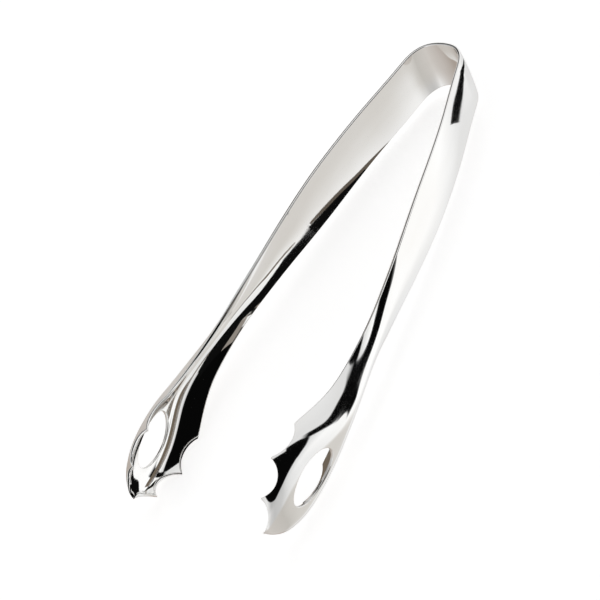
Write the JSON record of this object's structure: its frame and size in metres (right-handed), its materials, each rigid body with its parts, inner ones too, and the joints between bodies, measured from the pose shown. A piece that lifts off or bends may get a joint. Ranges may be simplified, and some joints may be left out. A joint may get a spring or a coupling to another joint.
{
  "type": "spring ice tongs",
  "caption": "One-piece sprung steel tongs for ice: a bent strip with channelled arms and cupped, scalloped claws, each pierced by an oval drain hole.",
  "frame": {"origin": "centre of the bounding box's bottom, with the tongs lying on their side on Z = 0", "axes": "+X from the left arm to the right arm, +Y from the claw tips to the bow, +Z across the strip, up from the surface the tongs lie on"},
  "size_m": [0.0622, 0.1784, 0.0245],
  "materials": {
    "polished_steel": "mirror polish"
  },
  "bodies": {
    "bow": {"spring_bow": "polished_steel"},
    "left": {"left_arm": "polished_steel", "left_claw": "polished_steel"},
    "right": {"right_arm": "polished_steel", "right_claw": "polished_steel"}
  },
  "joints": [
    {"name": "left_squeeze", "type": "hinge", "parent": "bow", "child": "left", "pos_m": [-0.0128, 0.0686, 0.01225], "axis": [0, 0, 1], "range_deg": [0, 8.4], "stiffness_Nm_per_rad": 5},
    {"name": "right_squeeze", "type": "hinge", "parent": "bow", "child": "right", "pos_m": [0.0128, 0.0686, 0.01225], "axis": [0, 0, 1], "range_deg": [-8.4, 0], "stiffness_Nm_per_rad": 5}
  ],
  "couplings": [
    {"joint": "right_squeeze", "follows": "left_squeeze", "ratio": -1}
  ]
}
